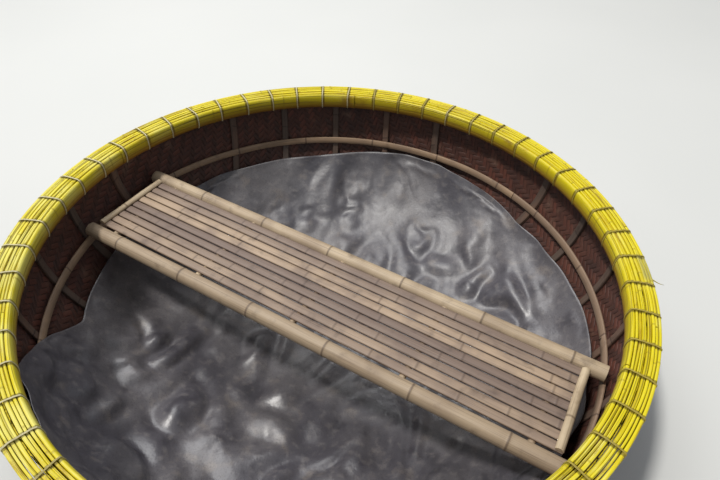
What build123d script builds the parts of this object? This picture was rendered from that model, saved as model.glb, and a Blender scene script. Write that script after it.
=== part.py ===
"""A round basket boat: a woven bamboo bowl with crossed ribs, a bound rim and a bench.

Millimetres. The origin is the boat's centre at the water's surface, +Z up. The bench runs
about 30 degrees off the X axis, and -Y is the side seen nearest in the usual view.
"""

import math
import os
from collections import namedtuple

from build123d import *

os.makedirs("parts", exist_ok=True)

# Overall sizes
rim_radius = 1000.0  # to the outer face of the outer hoop
hull_depth = 660.0  # from the top of the rim to the lowest point outside
draught = 160.0  # how deep the laden boat sits
rim_z = hull_depth - draught
keel_z = -draught

# Clearance between pieces that lie against each other
seat = 0.3

# The rim, from the inboard hoop to the outboard one
Lath = namedtuple("Lath", "width top height joint")  # joint: where its two lengths meet, degrees
inner_hoop_width = 14.0
inner_hoop_bulge = 6.0  # the round inboard face stands this far beyond its edges
inner_hoop_height = 60.0
outer_hoop_width = 10.0
outer_hoop_height = 54.0
hoop_drop = 5.0  # hoops stand this much lower than the highest lath
inner_hoop_joint = 150.0
outer_hoop_joint = 185.0
inboard_laths = [
    Lath(8.5, 1.0, 44.0, 20.0),
    Lath(8.0, 3.5, 42.0, 100.0),
    Lath(8.0, 0.0, 44.0, 305.0),
]
outboard_laths = [
    Lath(8.5, 2.0, 44.0, 65.0),
    Lath(9.0, 0.0, 46.0, 250.0),
    Lath(7.5, 3.0, 42.0, 340.0),
]
lath_gap = 0.7
joint_gap = 3.0
skin_drop = 9.0  # the woven edge ends this far below the highest lath

# The woven shell
skin = 6.0
straight_wall = 81.5  # the wall stands upright this far down from the top of the rim
bottom_arc = 1900.0  # radius of the bottom's curve; the bilge's curve follows from it

# Lashings round the rim
lashing_count = 52
lashing_width = 5.5
lashing_thick = 1.8
lashing_slack = 0.4
lashing_hole = 1.0  # clearance all round where a lashing goes through the shell

# Ribs: split bamboo in two crossed sets
rib_width = 26.0
rib_thick = 9.0
rib_round = 3.5  # on the edges of the inboard face
rib_pitches = [-4, -2, 0, 2, 4]  # places, in steps of one lashing
rib_end_drop = 50.0  # rib ends tuck up behind the inner hoop, this far below the rim's top
crossing_lift = 13.0  # the second set rises over the first one at the bottom by this much

# The rising: the inside hoop that carries the bench
rising_drop = 222.0  # its top edge, below the top of the rim
rising_height = 24.0
rising_thick = 8.0
rising_joint = 215.0

# Floor liner
liner_thick = 3.0
liner_drop = 292.0  # its top edge, below the top of the rim
apron_gap = 7.0  # in front the liner goes on up the wall, to this far below the inner hoop
apron_start = 190.4  # the front part lies between these two bearings, degrees
apron_end = 288.6
apron_slant = 54.0  # how far its two ends lean towards each other, from upright
apron_overlap = 12.0  # it steps in over the rising this far below it

# Bench
bench_heading = -30.5
rail_radius = 26.0
rail_front = -246.0  # across the bench, from the boat's centre to the front rail's axis
slat_count = 9
slat_width = 29.0
slat_gap = 4.3
slat_thick = 8.0  # at the crown
slat_edge = 5.5
slat_reach = 868.0  # half the longest slat
slat_side_gap = 5.0  # between a rail and the nearest slat
node_pitch = 290.0  # between a bamboo pole's nodes
node_shifts = {"front_rail": 145.0, "rear_rail": 225.0}  # clear of the bearers and the rising
node_ring = 1.3  # how far a node stands out
node_length = 6.0
bearer_radius = 11.0
bearer_places = [-780.0, -390.0, 0.0, 390.0, 780.0]
bearer_depth = 24.0  # how far a bearer's end goes into a rail
bore_clearance = 0.3
end_batten_width = 26.0
end_batten_thick = 12.0  # at the crown
end_batten_edge = 4.0
end_batten_place = 850.0

Gap = namedtuple("Gap", "bottom wall")  # distance from the shell's outer face


def save(part, name):
    """Label a finished piece and write its file."""
    part.label = name
    export_step(part, f"parts/{name}.step")


def toward(start, end):
    """Unit vector from one (r, z) point to another."""
    length = math.hypot(end[0] - start[0], end[1] - start[1])
    return ((end[0] - start[0]) / length, (end[1] - start[1]) / length)


def along(centre, direction, radius):
    """The (r, z) point at a distance from a centre."""
    return (centre[0] + direction[0] * radius, centre[1] + direction[1] * radius)


def halfway(first, second):
    """Unit vector midway between two unit vectors."""
    return toward((0.0, 0.0), (first[0] + second[0], first[1] + second[1]))


# Radii across the rim, worked out from its laths
inboard_width = inner_hoop_width + sum(lath.width + lath_gap for lath in inboard_laths)
outboard_width = outer_hoop_width + sum(lath.width + lath_gap for lath in outboard_laths)
wall_radius = rim_radius - outboard_width - lath_gap
rim_inner = wall_radius - skin - lath_gap - inboard_width
upright_z = rim_z - straight_wall


def bowl_points(gap):
    """Points of the bowl's curve, this far inside the shell's outer face."""
    wall_r = wall_radius - gap.wall
    base_z = keel_z + gap.bottom
    base_r = bottom_arc - gap.bottom
    # The bilge arc meets the upright wall and the bottom's arc smoothly
    height = upright_z - base_z
    bilge_r = (2 * base_r * height - wall_r**2 - height**2) / (2 * (base_r - wall_r))
    bilge_centre = (wall_r - bilge_r, upright_z)
    base_centre = (0.0, base_z + base_r)
    lower = toward(base_centre, bilge_centre)
    return [
        (wall_r, upright_z),
        along(bilge_centre, halfway((1.0, 0.0), lower), bilge_r),
        along(base_centre, lower, base_r),
        along(base_centre, halfway(lower, (0.0, -1.0)), base_r),
        (0.0, base_z),
    ]


def bowl_curve(gap, top_z):
    """Draw the bowl's curve from a height on the wall down to the axis."""
    points = bowl_points(gap)
    Line((points[0][0], top_z), points[0])
    for first in (0, 2):
        ThreePointArc(*points[first : first + 3])


def bowl_layer(outer, inner, top_z):
    """A layer of the bowl between two curves, turned round the axis."""
    with BuildPart() as layer:
        with BuildSketch(Plane.XZ):
            with BuildLine():
                bowl_curve(outer, top_z)
                bowl_curve(inner, top_z)
                Line((bowl_points(outer)[0][0], top_z), (bowl_points(inner)[0][0], top_z))
                Line(bowl_points(outer)[-1], bowl_points(inner)[-1])
            make_face()
        revolve(axis=Axis.Z)
    return layer.part


def even_gap(distance):
    """The same distance at the bottom as on the wall."""
    return Gap(distance, distance)


# Layers of the bowl, outside to inside
rib_outer = even_gap(skin + seat)
rib_inner = even_gap(skin + seat + rib_thick)
over_outer = Gap(rib_outer.bottom + crossing_lift, rib_outer.wall)
over_inner = Gap(rib_inner.bottom + crossing_lift, rib_inner.wall)
clear_of_ribs = Gap(over_inner.bottom + seat, over_inner.wall + seat)
rising_inner = Gap(clear_of_ribs.bottom + rising_thick, clear_of_ribs.wall + rising_thick)
liner_inner = Gap(clear_of_ribs.bottom + liner_thick, clear_of_ribs.wall + liner_thick)

# The rim's laths and hoops, as (name, inner radius, lath) from inboard to outboard
lath_rings = []
radius = rim_inner + inner_hoop_width + lath_gap
for number, lath in enumerate(inboard_laths, 1):
    lath_rings.append((f"rim_lath_{number}", radius, lath))
    radius += lath.width + lath_gap
radius = wall_radius + lath_gap
for number, lath in enumerate(outboard_laths, len(inboard_laths) + 1):
    lath_rings.append((f"rim_lath_{number}", radius, lath))
    radius += lath.width + lath_gap
hoop_top = rim_z - hoop_drop


def inner_hoop_outline():
    """Draw the inner hoop's section: flat outboard, round inboard."""
    outboard = rim_inner + inner_hoop_width
    edge = rim_inner + inner_hoop_bulge
    base = hoop_top - inner_hoop_height
    Line((outboard, base), (outboard, hoop_top))
    Line((outboard, hoop_top), (edge, hoop_top))
    ThreePointArc((edge, hoop_top), (rim_inner, (hoop_top + base) / 2), (edge, base))
    Line((edge, base), (outboard, base))


def outer_hoop_outline():
    """Draw the outer hoop's section: flat inboard, with its outboard edges eased."""
    base = hoop_top - outer_hoop_height
    inboard = rim_radius - outer_hoop_width
    ease = outer_hoop_width / 3
    Polyline(
        (inboard, base),
        (rim_radius - ease, base),
        (rim_radius, base + ease),
        (rim_radius, hoop_top - ease),
        (rim_radius - ease, hoop_top),
        (inboard, hoop_top),
        close=True,
    )


def cut_joints(joint):
    """Cut a ring of the rim into two lengths at a joint and at the place opposite."""
    with Locations((0, 0, rim_z)):
        Box(
            3 * rim_radius,
            joint_gap,
            4 * inner_hoop_height,
            rotation=(0, 0, joint),
            mode=Mode.SUBTRACT,
        )


# The shell, with a hole for each lashing
lashing_step = 360.0 / lashing_count
lashing_pass_z = hoop_top - (inner_hoop_height + outer_hoop_height) / 2 - lashing_slack
with BuildPart() as hull_shell:
    add(bowl_layer(even_gap(0.0), even_gap(skin), rim_z - skin_drop))
    with Locations((0, 0, lashing_pass_z - lashing_thick / 2)):
        with PolarLocations(wall_radius - skin / 2, lashing_count, start_angle=lashing_step / 2):
            Box(
                3 * skin,
                lashing_width + 2 * lashing_hole,
                lashing_thick + abs(inner_hoop_height - outer_hoop_height) + 2 * lashing_hole,
                mode=Mode.SUBTRACT,
            )
save(hull_shell.part, "hull_shell")

# The hoops and the laths between them
with BuildPart() as inner_hoop:
    with BuildSketch(Plane.XZ):
        with BuildLine():
            inner_hoop_outline()
        make_face()
    revolve(axis=Axis.Z)
    cut_joints(inner_hoop_joint)
save(inner_hoop.part, "inner_hoop")

with BuildPart() as outer_hoop:
    with BuildSketch(Plane.XZ):
        with BuildLine():
            outer_hoop_outline()
        make_face()
    revolve(axis=Axis.Z)
    cut_joints(outer_hoop_joint)
save(outer_hoop.part, "outer_hoop")

for name, inner_radius, lath in lath_rings:
    with BuildPart() as rim_lath:
        with BuildSketch(Plane.XZ):
            with Locations((inner_radius, rim_z - lath.top)):
                Rectangle(lath.width, lath.height, align=(Align.MIN, Align.MAX))
        revolve(axis=Axis.Z)
        cut_joints(lath.joint)
    save(rim_lath.part, name)

# Lashings: each is the hull of all that it binds, drawn tight and taken through the shell
with BuildPart() as lashing:
    with BuildSketch(Plane.XZ):
        with BuildSketch(Plane.XY, mode=Mode.PRIVATE) as bound:
            with BuildLine():
                inner_hoop_outline()
            make_face()
            with BuildLine():
                outer_hoop_outline()
            make_face()
            for _, inner_radius, lath in lath_rings:
                with Locations((inner_radius, rim_z - lath.top)):
                    Rectangle(lath.width, lath.height, align=(Align.MIN, Align.MAX))
            make_hull(bound.edges())
        for grown, mode in ((lashing_slack + lashing_thick, Mode.ADD), (lashing_slack, Mode.SUBTRACT)):
            add(offset(bound.sketch, grown, kind=Kind.INTERSECTION, mode=Mode.PRIVATE), mode=mode)
    extrude(amount=lashing_width / 2, both=True)
with BuildPart() as rim_lashings:
    with PolarLocations(0, lashing_count, start_angle=lashing_step / 2):
        add(lashing.part)
save(rim_lashings.part, "rim_lashings")

# Ribs: one set hugs the shell, and the other rises over it where they cross
rib_top = rim_z - rib_end_drop
rib_sets = [
    ("rib_along", bowl_layer(rib_outer, rib_inner, rib_top), 0.0),
    ("rib_across", bowl_layer(over_outer, over_inner, rib_top), 90.0),
]


def faces_inboard(face):
    """True for a curved face that looks into the boat."""
    above = Vector(0, 0, keel_z + bottom_arc)
    return face.geom_type != GeomType.PLANE and face.normal_at().dot(above - face.center()) > 0


for set_name, layer, turn in rib_sets:
    for number, pitches in enumerate(rib_pitches, 1):
        place = wall_radius * math.sin(math.radians(pitches * lashing_step))
        with BuildPart() as rib:
            add(layer)
            with Locations((0, place, 0)):
                Box(3 * rim_radius, rib_width, 3 * rim_radius, mode=Mode.INTERSECT)
            side_edges = rib.faces().filter_by(Axis.Y).edges()
            fillet(side_edges & rib.faces().filter_by(faces_inboard).edges(), rib_round)
        save(rib.part.rotate(Axis.Z, turn), f"{set_name}_{number}")

# The rising, a hoop that lies over the ribs
rising_top = rim_z - rising_drop
with BuildPart() as rising:
    add(bowl_layer(clear_of_ribs, rising_inner, rim_z))
    with Locations((0, 0, rising_top)):
        Box(
            3 * rim_radius,
            3 * rim_radius,
            rising_height,
            align=(Align.CENTER, Align.CENTER, Align.MAX),
            mode=Mode.INTERSECT,
        )
    with Locations((0, 0, rising_top)):
        Box(
            2 * rim_radius,
            joint_gap,
            3 * rising_height,
            align=(Align.MIN, Align.CENTER, Align.CENTER),
            rotation=(0, 0, rising_joint),
            mode=Mode.SUBTRACT,
        )
save(rising.part, "rising")

# The liner over the ribs, and over the rising too where it goes up the front wall
over_rising = Gap(rising_inner.bottom + seat, rising_inner.wall + seat)
apron_inner = Gap(over_rising.bottom + liner_thick, over_rising.wall + liner_thick)
step_drop = rising_drop + rising_height + apron_overlap
apron_drop = hoop_drop + inner_hoop_height + apron_gap


def lower_than(drop, mode=Mode.INTERSECT):
    """Keep, or cut away, what lies more than this far below the top of the rim."""
    with Locations((0, 0, rim_z - drop)):
        Box(
            3 * rim_radius,
            3 * rim_radius,
            2 * hull_depth,
            align=(Align.CENTER, Align.CENTER, Align.MAX),
            mode=mode,
        )


with BuildPart() as apron_riser:
    add(bowl_layer(clear_of_ribs, liner_inner, rim_z))
    lower_than(step_drop)
    lower_than(liner_drop + liner_thick, Mode.SUBTRACT)
with BuildPart() as apron_step:
    add(bowl_layer(clear_of_ribs, apron_inner, rim_z))
    lower_than(step_drop)
    lower_than(step_drop + liner_thick, Mode.SUBTRACT)
with BuildPart() as apron_wall:
    add(bowl_layer(over_rising, apron_inner, rim_z))
    lower_than(apron_drop)
    lower_than(step_drop + liner_thick, Mode.SUBTRACT)
with BuildPart() as apron:
    for piece in (apron_riser, apron_step, apron_wall):
        add(piece.part)
    for bearing, side in ((apron_start, -1), (apron_end, 1)):
        # A leaning plane through the wall at the liner's edge cuts each end off
        turn = math.radians(bearing)
        foot = Vector(wall_radius * math.cos(turn), wall_radius * math.sin(turn), rim_z - liner_drop)
        round_the_wall = Vector(-math.sin(turn), math.cos(turn), 0)
        lean = math.radians(apron_slant)
        outward = round_the_wall * side * math.cos(lean) + Vector(0, 0, math.sin(lean))
        with BuildSketch(Plane(origin=foot, z_dir=outward)):
            Rectangle(4 * rim_radius, 4 * rim_radius)
        extrude(amount=4 * rim_radius, mode=Mode.SUBTRACT)
with BuildPart() as floor_liner:
    add(bowl_layer(clear_of_ribs, liner_inner, rim_z))
    lower_than(liner_drop)
    add(apron.part)
save(floor_liner.part, "floor_liner")

# The bench: two rails on the rising, bearers let into them, slats and end battens
rail_z = rising_top + seat + rail_radius
slat_pitch = slat_width + slat_gap
slat_front = rail_front + rail_radius + slat_side_gap
rail_rear = slat_front + slat_count * slat_pitch - slat_gap + slat_side_gap + rail_radius
heading = math.radians(bench_heading)
lengthwise = Vector(math.cos(heading), math.sin(heading), 0)
crosswise = Vector(-math.sin(heading), math.cos(heading), 0)
bearer_z = rail_z
slat_z = bearer_z + bearer_radius + seat  # the slats' underside


def bench_point(length, cross, height):
    """A point from its places along and across the bench, and its height."""
    return lengthwise * length + crosswise * cross + Vector(0, 0, height)


def split_pole_outline(width, edge, crown):
    """Draw a split pole's section: flat below, with a round back."""
    half = width / 2
    Polyline((-half, edge), (-half, 0), (half, 0), (half, edge))
    ThreePointArc((half, edge), (0, crown), (-half, edge))


def pole_outline(shift):
    """Draw half of a rail's outline along its axis, with a ring at each bamboo node."""
    lowest = math.ceil((-slat_reach - shift) / node_pitch)
    highest = math.floor((slat_reach - shift) / node_pitch)
    start = (-rim_radius, 0.0)
    Line(start, (-rim_radius, rail_radius))
    edge = (-rim_radius, rail_radius)
    for number in range(lowest, highest + 1):
        node = shift + number * node_pitch
        before, after = node - node_length / 2, node + node_length / 2
        Line(edge, (before, rail_radius))
        edge = (after, rail_radius)
        ThreePointArc((before, rail_radius), (node, rail_radius + node_ring), edge)
    Polyline(edge, (rim_radius, rail_radius), (rim_radius, 0.0), start)


# The room left inside the ribs, which trims every long piece of the bench to the wall
with BuildPart() as room:
    with BuildSketch(Plane.XZ):
        with BuildLine():
            bowl_curve(clear_of_ribs, rim_z)
            Line((0.0, keel_z + clear_of_ribs.bottom), (0.0, rim_z))
            Line((0.0, rim_z), (wall_radius - clear_of_ribs.wall, rim_z))
        make_face()
    revolve(axis=Axis.Z)

for name, cross, inward in (("front_rail", rail_front, 1), ("rear_rail", rail_rear, -1)):
    side_plane = Plane(bench_point(0, cross, rail_z), x_dir=lengthwise, z_dir=-crosswise)
    with BuildPart() as rail:
        with BuildSketch(side_plane):
            with BuildLine():
                pole_outline(node_shifts[name])
            make_face()
        revolve(axis=Axis(side_plane.origin, lengthwise))
        add(room.part, mode=Mode.INTERSECT)
        for place in bearer_places:
            mouth = bench_point(place, cross + inward * rail_radius, bearer_z)
            with BuildSketch(Plane(origin=mouth, z_dir=crosswise * -inward)):
                Circle(bearer_radius + bore_clearance)
            extrude(amount=bearer_depth + seat, mode=Mode.SUBTRACT)
    save(rail.part, name)

for number, place in enumerate(bearer_places, 1):
    start = rail_front + rail_radius - bearer_depth
    length = rail_rear - rail_front - 2 * (rail_radius - bearer_depth)
    with BuildPart() as bearer:
        with BuildSketch(Plane(origin=bench_point(place, start, bearer_z), z_dir=crosswise)):
            Circle(bearer_radius)
        extrude(amount=length)
    save(bearer.part, f"bearer_{number}")

for number in range(slat_count):
    cross = slat_front + number * slat_pitch + slat_width / 2
    slat_plane = Plane(bench_point(0, cross, slat_z), x_dir=crosswise, z_dir=lengthwise)
    with BuildPart() as slat:
        with BuildSketch(slat_plane):
            with BuildLine():
                split_pole_outline(slat_width, slat_edge, slat_thick)
            make_face()
        extrude(amount=slat_reach, both=True)
        add(room.part, mode=Mode.INTERSECT)
    save(slat.part, f"slat_{number + 1}")

batten_z = slat_z + slat_thick + seat
for name, place in (("end_batten_left", -end_batten_place), ("end_batten_right", end_batten_place)):
    batten_plane = Plane(bench_point(place, slat_front, batten_z), x_dir=-lengthwise, z_dir=crosswise)
    with BuildPart() as end_batten:
        with BuildSketch(batten_plane):
            with BuildLine():
                split_pole_outline(end_batten_width, end_batten_edge, end_batten_thick)
            make_face()
        extrude(amount=slat_count * slat_pitch - slat_gap)
        add(room.part, mode=Mode.INTERSECT)
    save(end_batten.part, name)
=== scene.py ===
# %% [markdown]
# # A round basket boat
# The boat is a bowl of woven bamboo, stiffened by split ribs and closed at the top by a bundle of
# laths that a pale line binds to the woven edge. A black sheet lines its floor and a slatted bench
# crosses it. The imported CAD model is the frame: it gives the place and size of every piece, and
# this script gives each piece its finish, its irregular hand-made form and its wear.
#
# A frame that can't move is the best start, because a piece that is made to fit it needs no
# fitting afterwards.

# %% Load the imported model
import math

import bpy
import numpy as np
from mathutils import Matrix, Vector


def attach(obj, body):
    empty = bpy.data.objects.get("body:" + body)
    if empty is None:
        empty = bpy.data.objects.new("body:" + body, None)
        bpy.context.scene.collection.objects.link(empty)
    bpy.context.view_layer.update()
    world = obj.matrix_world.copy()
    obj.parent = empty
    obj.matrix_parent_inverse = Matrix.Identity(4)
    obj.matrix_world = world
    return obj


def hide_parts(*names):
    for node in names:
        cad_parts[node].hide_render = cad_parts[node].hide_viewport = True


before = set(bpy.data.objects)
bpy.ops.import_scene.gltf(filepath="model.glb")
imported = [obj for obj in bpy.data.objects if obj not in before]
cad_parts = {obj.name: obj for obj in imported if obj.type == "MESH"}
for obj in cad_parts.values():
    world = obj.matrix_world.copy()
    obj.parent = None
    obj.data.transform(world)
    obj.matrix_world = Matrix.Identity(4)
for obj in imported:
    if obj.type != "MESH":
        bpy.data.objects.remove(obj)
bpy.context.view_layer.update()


def put_in(name, data):
    """A new object in the scene, from a mesh, a curve, a light or a camera."""
    made = bpy.data.objects.new(name, data)
    bpy.context.collection.objects.link(made)
    return made


def shade(mesh, smooth=True):
    """Shade all of a mesh smooth, or all of it flat."""
    mesh.polygons.foreach_set("use_smooth", [smooth] * len(mesh.polygons))


def mesh_object(name, points, faces, smooth=True):
    """An object from lists of points and faces."""
    mesh = bpy.data.meshes.new(name)
    mesh.from_pydata(points, [], faces)
    shade(mesh, smooth)
    return put_in(name, mesh)


def mesh_points(mesh):
    """The vertices of a mesh, one row each."""
    points = np.empty(len(mesh.vertices) * 3)
    mesh.vertices.foreach_get("co", points)
    return points.reshape(-1, 3)


# %% [markdown]
# ## Sizes
# Sizes come from the CAD nodes where their vertices can tell them. A ring tells its radii and
# heights, and a bench piece tells its ends along and across the bench. What no vertex tells, such
# as the bench's heading or where one arc of the bowl turns into the next, is a named value.


# %% Measure the frame
def node_points(node):
    """The vertices of a CAD node, one row each."""
    return mesh_points(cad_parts[node].data)


def ring_section(node):
    """The radii and the heights of a ring-shaped node's vertices."""
    points = node_points(node)
    return np.hypot(points[:, 0], points[:, 1]), points[:, 2]


def ring_size(node):
    """A ring-shaped node's inner and outer radius, and its lowest and highest z."""
    radii, heights = ring_section(node)
    return radii.min(), radii.max(), heights.min(), heights.max()


bench_heading = math.radians(-30.5)
lengthwise = np.array((math.cos(bench_heading), math.sin(bench_heading), 0.0))
crosswise = np.array((-math.sin(bench_heading), math.cos(bench_heading), 0.0))
upward = np.array((0.0, 0.0, 1.0))


def bench_size(node):
    """A bench node's lowest and highest place along the bench, across it and in height."""
    spans = [node_points(node) @ axis for axis in (lengthwise, crosswise, upward)]
    return [(span.min(), span.max()) for span in spans]


laths = [f"rim_lath_{number}" for number in range(1, 7)]
slats = [f"slat_{number}" for number in range(1, 10)]
rim_z = max(ring_size(lath)[3] for lath in laths)
skin_top = ring_size("hull_shell")[3]
wall_radius = ring_size("hull_shell")[1]
keel_z = ring_size("hull_shell")[2]
print(f"rim at {rim_z:.3f}, wall radius {wall_radius:.4f}, keel at {keel_z:.3f}")

# %% [markdown]
# ## The bowl
# Seen from the side, the bowl is a wide arc for the bottom, a tighter one for the bilge and a
# short upright wall. A place on it is given by how far it is along that curve from the bottom's
# middle, in which direction, and how deep it lies inside the outer face. With one function for
# that, anything can be made flat, where it is easy, and then bent to the boat.

# %% Bend flat shapes to the bowl
bottom_arc = 1.9
straight_wall = 0.0815
# How deep inside the outer face the ribs' tops lie on the wall, and how much deeper they lie on
# the bottom, where the two sets cross
rib_depth = 0.0156
crossing_depth = 0.013
upright_z = rim_z - straight_wall
wall_rise = upright_z - keel_z
bilge_arc = (2 * bottom_arc * wall_rise - wall_radius**2 - wall_rise**2) / (
    2 * (bottom_arc - wall_radius)
)
bottom_turn = math.asin((wall_radius - bilge_arc) / (bottom_arc - bilge_arc))
bottom_run = bottom_arc * bottom_turn
bilge_run = bilge_arc * (math.pi / 2 - bottom_turn)
skin_run = bottom_run + bilge_run + skin_top - upright_z
curve_places = np.linspace(0.0, skin_run, 2000)


def bowl_station(distance, depth):
    """Radius and z of the place at a distance along the bowl's curve and a depth inside it."""
    bottom = np.minimum(distance / bottom_arc, bottom_turn)
    bilge = np.clip((distance - bottom_run) / bilge_arc, 0.0, math.pi / 2 - bottom_turn)
    wall = np.maximum(distance - bottom_run - bilge_run, 0.0)
    radius = bottom_arc * np.sin(bottom)
    radius = radius + bilge_arc * (np.sin(bottom_turn + bilge) - math.sin(bottom_turn))
    height = keel_z + bottom_arc * (1 - np.cos(bottom)) + wall
    height = height + bilge_arc * (math.cos(bottom_turn) - np.cos(bottom_turn + bilge))
    slope = bottom + bilge
    return radius - depth * np.sin(slope), height + depth * np.cos(slope)


def wall_slope(distance):
    """How steep the bowl is, in radians, at a distance along its curve."""
    slope = np.minimum(distance / bottom_arc, bottom_turn)
    return slope + np.clip((distance - bottom_run) / bilge_arc, 0.0, math.pi / 2 - bottom_turn)


def rib_tops(distance):
    """How deep inside the bowl's outer face the tops of the ribs lie."""
    return rib_depth + crossing_depth * np.cos(wall_slope(distance))


def flat_polar(points):
    """How far along the bowl's curve flat points lie, up to its edge, and in which direction."""
    distance = np.minimum(np.hypot(points[:, 0], points[:, 1]), skin_run)
    return distance, np.arctan2(points[:, 1], points[:, 0])


def on_bowl(distance, bearing, depth):
    """The points at distances along the bowl's curve, in their directions and at their depths."""
    radius, height = bowl_station(distance, depth)
    return np.column_stack((radius * np.cos(bearing), radius * np.sin(bearing), height))


def radius_at(height, depth):
    """The bowl's radius at a height, a depth inside its outer face."""
    radii, heights = bowl_station(curve_places, depth)
    return float(np.interp(height, heights, radii))


print(f"curve from the middle to the edge {skin_run:.3f} m, bilge arc {bilge_arc:.3f} m")
print(f"waterline radius {radius_at(0.0, 0.0):.3f} m")

# %% [markdown]
# ## The camera
# The picture looks steeply down into the boat. The camera's place and tilt were worked out from
# the rim, which is a circle in the boat and an ellipse in the picture. The rim fits longer and
# shorter lenses about as well, so the lens itself is a choice, that of a common phone.

# %% Place the camera
photo_width = 720
lens_pixels = 560.0
sensor_width = 36.0
look_down = math.radians(43.27)
look_aside = math.radians(2.08)
head_tilt = math.radians(2.44)
eye = (0.053, -1.301, 1.718)

forward = np.array(
    (
        math.sin(look_aside) * math.cos(look_down),
        math.cos(look_aside) * math.cos(look_down),
        -math.sin(look_down),
    )
)
level = np.array((math.cos(look_aside), -math.sin(look_aside), 0.0))
over = np.cross(level, forward)
right = math.cos(head_tilt) * level + math.sin(head_tilt) * over
above = np.cross(right, forward)

camera_data = bpy.data.cameras.new("camera")
camera_data.sensor_width = sensor_width
camera_data.lens = lens_pixels / photo_width * sensor_width
camera = put_in("camera", camera_data)
for row in range(3):
    for column, axis in enumerate((right, above, -forward)):
        camera.matrix_world[row][column] = axis[row]
    camera.matrix_world[row][3] = eye[row]
bpy.context.scene.camera = camera
print(f"lens {camera_data.lens:.1f} mm, eye {eye}")

# %% [markdown]
# ## Nodes as expressions
# A node tree is easier to read as a sum than as a list of links. A small class stands for a
# socket, and each operator on it adds its Math node. One method makes every other node. The same
# two serve the materials and the Geometry Nodes trees.


# %% Write node trees in plain expressions
class Field:
    """A socket of a node tree that can be used in a Python expression."""

    def __init__(self, graph, socket):
        self.graph = graph
        self.socket = socket

    def maths(self, operation, *others):
        """A Math node on this and the other values."""
        sockets = dict(enumerate((self, *others)))
        return self.graph.node("ShaderNodeMath", {"operation": operation}, sockets)

    def __add__(self, other):
        return self.maths("ADD", other)

    def __sub__(self, other):
        return self.maths("SUBTRACT", other)

    def __rsub__(self, other):
        return (self * -1.0) + other

    def __mul__(self, other):
        return self.maths("MULTIPLY", other)

    def __truediv__(self, other):
        return self.maths("DIVIDE", other)

    __radd__ = __add__
    __rmul__ = __mul__

    def between(self, low, high):
        """0 below low, 1 above high and a smooth rise from one to the other."""
        settings = {"interpolation_type": "SMOOTHSTEP"}
        return self.graph.node("ShaderNodeMapRange", settings, {0: self, 1: low, 2: high})


class Graph:
    """A node tree that is built node by node."""

    def __init__(self, tree):
        self.tree = tree

    def node(self, kind, settings, sockets, output=0):
        """Add a node, with its settings first and then its sockets, and give one output."""
        made = self.tree.nodes.new(kind)
        for name, value in settings.items():
            setattr(made, name, value)
        for name, value in sockets.items():
            if isinstance(value, Field):
                self.tree.links.new(value.socket, made.inputs[name])
            else:
                made.inputs[name].default_value = value
        return None if output is None else Field(self, made.outputs[output])

    def vector(self, x, y, z):
        """Three numbers as one vector."""
        return self.node("ShaderNodeCombineXYZ", {}, {0: x, 1: y, 2: z})

    def parts(self, vector):
        """The x, y and z of a vector."""
        node = self.node("ShaderNodeSeparateXYZ", {}, {0: vector}).socket.node
        return [Field(self, socket) for socket in node.outputs]

    def noise(self, place, scale, detail=3.0):
        """Smooth noise from 0 to 1."""
        return self.node("ShaderNodeTexNoise", {}, {"Vector": place, "Scale": scale, "Detail": detail})

    def toss(self, value):
        """A number from 0 to 1 that looks random, and is always the same for the same value."""
        return self.node("ShaderNodeTexWhiteNoise", {"noise_dimensions": "1D"}, {"W": value})


# %% [markdown]
# ## Materials from screen colours
# Colours are written as they look on a screen, from 0 to 255, and turned into the linear values
# that Blender wants. A finish mixes them by masks: streaks that run with the grain, a tint for
# each strip, wear where hands and gear rub, and dirt where water stands.


# %% A class for finishes
def colour(red, green, blue):
    """A screen colour as linear red, green, blue and alpha."""
    parts = [value / 255 for value in (red, green, blue)]
    linear = [part / 12.92 if part <= 0.04045 else ((part + 0.055) / 1.055) ** 2.4 for part in parts]
    return (*linear, 1.0)


class Finish(Graph):
    """A material that is built node by node."""

    def __init__(self, name):
        self.material = bpy.data.materials.new(name)
        self.material.use_nodes = True
        super().__init__(self.material.node_tree)
        self.tree.nodes.clear()

    def place(self):
        """Coordinates in the boat's own frame, in metres."""
        return self.node("ShaderNodeTexCoord", {}, {}, "Object")

    def carried(self, name):
        """A number that the piece's own mesh carries."""
        return self.node("ShaderNodeAttribute", {"attribute_name": name}, {}, "Fac")

    def mix(self, mask, low, high):
        """The colour low where the mask is 0, high where it is 1."""
        return self.node("ShaderNodeMix", {"data_type": "RGBA"}, {0: mask, 6: low, 7: high}, 2)

    def coats(self, tone, table):
        """Colours laid on in turn, from rows of mask, low, high, strength and colour."""
        for mask, low, high, strength, over in table:
            tone = self.mix(mask.between(low, high) * strength, tone, over)
        return tone

    def finish(self, tint, roughness, relief, relief_height, specular=0.5):
        """Join colour, roughness and relief into the surface."""
        normal = self.node("ShaderNodeBump", {}, {"Height": relief, "Distance": relief_height})
        sockets = {
            "Base Color": tint,
            "Roughness": roughness,
            "Specular IOR Level": specular,
            "Normal": normal,
        }
        surface = self.node("ShaderNodeBsdfPrincipled", {}, sockets)
        self.node("ShaderNodeOutputMaterial", {}, {"Surface": surface}, None)
        return self.material


# %% [markdown]
# ## Geometry Nodes from the same expressions
# What repeats, or follows a path, is grown by Geometry Nodes: a tree has named inputs for its
# sizes, so one tree makes every lath of the rim and every slat of the bench. Its result is kept
# as a plain mesh, because instances would be lost when the model is exported.


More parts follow.
